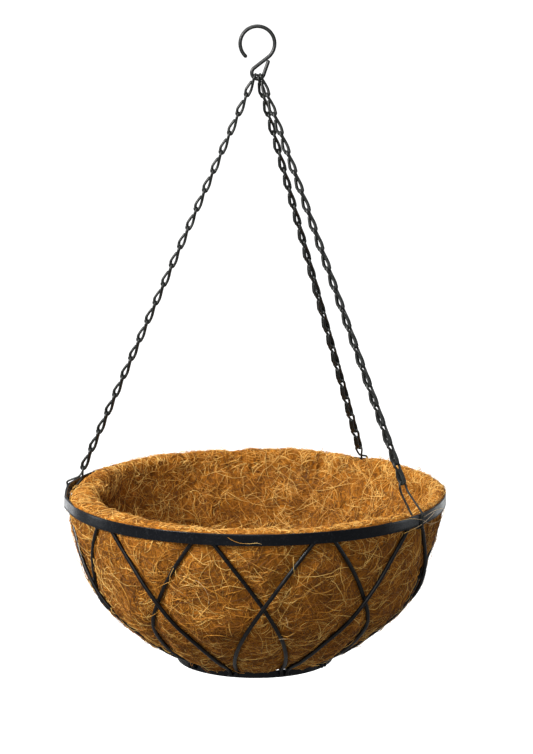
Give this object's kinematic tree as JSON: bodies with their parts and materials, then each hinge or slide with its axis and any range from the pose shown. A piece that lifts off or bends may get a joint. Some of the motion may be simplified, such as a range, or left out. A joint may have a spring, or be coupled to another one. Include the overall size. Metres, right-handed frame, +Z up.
{
  "type": "hanging basket",
  "caption": "Half-round wire hanging basket with a thick coir liner, three ladder chains clipped to a flat rim band and an S-hook at the top.",
  "frame": {"origin": "centre of the base ring's underside", "axes": "+Z up along the basket's axis towards the hook; the S-hook lies in the XZ plane; -Y is the front"},
  "size_m": [0.3582, 0.3582, 0.5979],
  "materials": {
    "band": "semi-gloss black coating",
    "frame_wire": "satin black coating",
    "chain": "satin dark grey coating",
    "hook": "satin black coating",
    "coir": "matted coconut fibre"
  },
  "bodies": {
    "basket": {"rim_band": "band", "base_ring": "band", "frame_wire_01_a": "frame_wire", "frame_wire_01_b": "frame_wire", "frame_wire_02_a": "frame_wire", "frame_wire_02_b": "frame_wire", "frame_wire_03_a": "frame_wire", "frame_wire_03_b": "frame_wire", "frame_wire_04_a": "frame_wire", "frame_wire_04_b": "frame_wire", "frame_wire_05_a": "frame_wire", "frame_wire_05_b": "frame_wire", "frame_wire_06_a": "frame_wire", "frame_wire_06_b": "frame_wire", "frame_wire_07_a": "frame_wire", "frame_wire_07_b": "frame_wire", "frame_wire_08_a": "frame_wire", "frame_wire_08_b": "frame_wire", "frame_wire_09_a": "frame_wire", "frame_wire_09_b": "frame_wire", "frame_wire_10_a": "frame_wire", "frame_wire_10_b": "frame_wire", "coir_liner": "coir"},
    "chain_left_clip": {"chain_left_rim_clip": "chain"},
    "chain_left_section_1": {"chain_left_run_01": "chain", "chain_left_run_02": "chain"},
    "chain_left_section_2": {"chain_left_run_03": "chain", "chain_left_run_04": "chain"},
    "chain_left_section_3": {"chain_left_run_05": "chain", "chain_left_run_06": "chain"},
    "chain_left_section_4": {"chain_left_run_07": "chain", "chain_left_run_08": "chain"},
    "chain_left_section_5": {"chain_left_run_09": "chain", "chain_left_run_10": "chain", "chain_left_top_link": "chain"},
    "chain_back_clip": {"chain_back_rim_clip": "chain"},
    "chain_back_section_1": {"chain_back_run_01": "chain", "chain_back_run_02": "chain"},
    "chain_back_section_2": {"chain_back_run_03": "chain", "chain_back_run_04": "chain"},
    "chain_back_section_3": {"chain_back_run_05": "chain", "chain_back_run_06": "chain"},
    "chain_back_section_4": {"chain_back_run_07": "chain", "chain_back_run_08": "chain"},
    "chain_back_section_5": {"chain_back_run_09": "chain", "chain_back_run_10": "chain", "chain_back_top_link": "chain"},
    "chain_front_clip": {"chain_front_rim_clip": "chain"},
    "chain_front_section_1": {"chain_front_run_01": "chain", "chain_front_run_02": "chain"},
    "chain_front_section_2": {"chain_front_run_03": "chain", "chain_front_run_04": "chain"},
    "chain_front_section_3": {"chain_front_run_05": "chain", "chain_front_run_06": "chain"},
    "chain_front_section_4": {"chain_front_run_07": "chain", "chain_front_run_08": "chain"},
    "chain_front_section_5": {"chain_front_run_09": "chain", "chain_front_run_10": "chain", "chain_front_top_link": "chain"},
    "s_hook": {"s_hook": "hook"}
  },
  "joints": [
    {"name": "chain_left_let_down", "type": "hinge", "parent": "basket", "child": "chain_left_clip", "pos_m": [-0.1753, 0.03091, 0.1496], "axis": [-0.1736, -0.9848, 0], "range_deg": [0, 22]},
    {"name": "chain_left_bend_1", "type": "hinge", "parent": "chain_left_clip", "child": "chain_left_section_1", "pos_m": [-0.16302, 0.02875, 0.17771], "axis": [-0.1736, -0.9848, 0.0002], "range_deg": [0, 36]},
    {"name": "chain_left_bend_2", "type": "hinge", "parent": "chain_left_section_1", "child": "chain_left_section_2", "pos_m": [-0.13187, 0.02327, 0.24901], "axis": [-0.1461, -0.9892, -0.0121], "range_deg": [0, 36]},
    {"name": "chain_left_bend_3", "type": "hinge", "parent": "chain_left_section_2", "child": "chain_left_section_3", "pos_m": [-0.10073, 0.0178, 0.32032], "axis": [-0.1186, -0.9926, -0.0245], "range_deg": [0, 36]},
    {"name": "chain_left_bend_4", "type": "hinge", "parent": "chain_left_section_3", "child": "chain_left_section_4", "pos_m": [-0.06958, 0.01232, 0.39162], "axis": [-0.0908, -0.9952, -0.0368], "range_deg": [0, 36]},
    {"name": "chain_left_bend_5", "type": "hinge", "parent": "chain_left_section_4", "child": "chain_left_section_5", "pos_m": [-0.03844, 0.00685, 0.46292], "axis": [-0.063, -0.9968, -0.049], "range_deg": [0, 36]},
    {"name": "chain_back_let_down", "type": "hinge", "parent": "basket", "child": "chain_back_clip", "pos_m": [0.10836, 0.14122, 0.1496], "axis": [-0.7934, 0.6088, 0], "range_deg": [0, 22]},
    {"name": "chain_back_bend_1", "type": "hinge", "parent": "chain_back_clip", "child": "chain_back_section_1", "pos_m": [0.10141, 0.13192, 0.17601], "axis": [-0.7945, 0.6072, 0.0045], "range_deg": [0, 36]},
    {"name": "chain_back_bend_2", "type": "hinge", "parent": "chain_back_section_1", "child": "chain_back_section_2", "pos_m": [0.0826, 0.1068, 0.24742], "axis": [-0.6955, 0.7152, 0.0686], "range_deg": [0, 36]},
    {"name": "chain_back_bend_3", "type": "hinge", "parent": "chain_back_section_2", "child": "chain_back_section_3", "pos_m": [0.0638, 0.08167, 0.31882], "axis": [-0.5774, 0.8058, 0.1315], "range_deg": [0, 36]},
    {"name": "chain_back_bend_4", "type": "hinge", "parent": "chain_back_section_3", "child": "chain_back_section_4", "pos_m": [0.045, 0.05654, 0.39023], "axis": [-0.4416, 0.8764, 0.1921], "range_deg": [0, 36]},
    {"name": "chain_back_bend_5", "type": "hinge", "parent": "chain_back_section_4", "child": "chain_back_section_5", "pos_m": [0.0262, 0.03141, 0.46164], "axis": [-0.2898, 0.9241, 0.2489], "range_deg": [0, 36]},
    {"name": "chain_front_let_down", "type": "hinge", "parent": "basket", "child": "chain_front_clip", "pos_m": [0.14843, -0.09824, 0.1496], "axis": [0.5519, 0.8339, 0], "range_deg": [0, 22]},
    {"name": "chain_front_bend_1", "type": "hinge", "parent": "chain_front_clip", "child": "chain_front_section_1", "pos_m": [0.13415, -0.08847, 0.18965], "axis": [0.554, 0.8325, -0.0057], "range_deg": [0, 36]},
    {"name": "chain_front_bend_2", "type": "hinge", "parent": "chain_front_section_1", "child": "chain_front_section_2", "pos_m": [0.10953, -0.07162, 0.25868], "axis": [0.4729, 0.8799, -0.0462], "range_deg": [0, 36]},
    {"name": "chain_front_bend_3", "type": "hinge", "parent": "chain_front_section_2", "child": "chain_front_section_3", "pos_m": [0.08492, -0.05477, 0.32771], "axis": [0.3865, 0.9183, -0.0863], "range_deg": [0, 36]},
    {"name": "chain_front_bend_4", "type": "hinge", "parent": "chain_front_section_3", "child": "chain_front_section_4", "pos_m": [0.0603, -0.03791, 0.39674], "axis": [0.2952, 0.9471, -0.1259], "range_deg": [0, 36]},
    {"name": "chain_front_bend_5", "type": "hinge", "parent": "chain_front_section_4", "child": "chain_front_section_5", "pos_m": [0.03568, -0.02106, 0.46576], "axis": [0.1997, 0.9659, -0.1646], "range_deg": [0, 36]},
    {"name": "s_hook_rock", "type": "hinge", "parent": "chain_back_section_5", "child": "s_hook", "pos_m": [0.0027, 0, 0.54845], "axis": [1, 0, 0], "range_deg": [-35, 35]}
  ],
  "couplings": [
    {"joint": "chain_left_bend_1", "follows": "chain_left_let_down", "ratio": 1.636},
    {"joint": "chain_left_bend_2", "follows": "chain_left_let_down", "ratio": 1.636},
    {"joint": "chain_left_bend_3", "follows": "chain_left_let_down", "ratio": 1.636},
    {"joint": "chain_left_bend_4", "follows": "chain_left_let_down", "ratio": 1.636},
    {"joint": "chain_left_bend_5", "follows": "chain_left_let_down", "ratio": 1.636},
    {"joint": "chain_back_bend_1", "follows": "chain_back_let_down", "ratio": 1.636},
    {"joint": "chain_back_bend_2", "follows": "chain_back_let_down", "ratio": 1.636},
    {"joint": "chain_back_bend_3", "follows": "chain_back_let_down", "ratio": 1.636},
    {"joint": "chain_back_bend_4", "follows": "chain_back_let_down", "ratio": 1.636},
    {"joint": "chain_back_bend_5", "follows": "chain_back_let_down", "ratio": 1.636},
    {"joint": "chain_front_bend_1", "follows": "chain_front_let_down", "ratio": 1.636},
    {"joint": "chain_front_bend_2", "follows": "chain_front_let_down", "ratio": 1.636},
    {"joint": "chain_front_bend_3", "follows": "chain_front_let_down", "ratio": 1.636},
    {"joint": "chain_front_bend_4", "follows": "chain_front_let_down", "ratio": 1.636},
    {"joint": "chain_front_bend_5", "follows": "chain_front_let_down", "ratio": 1.636}
  ]
}
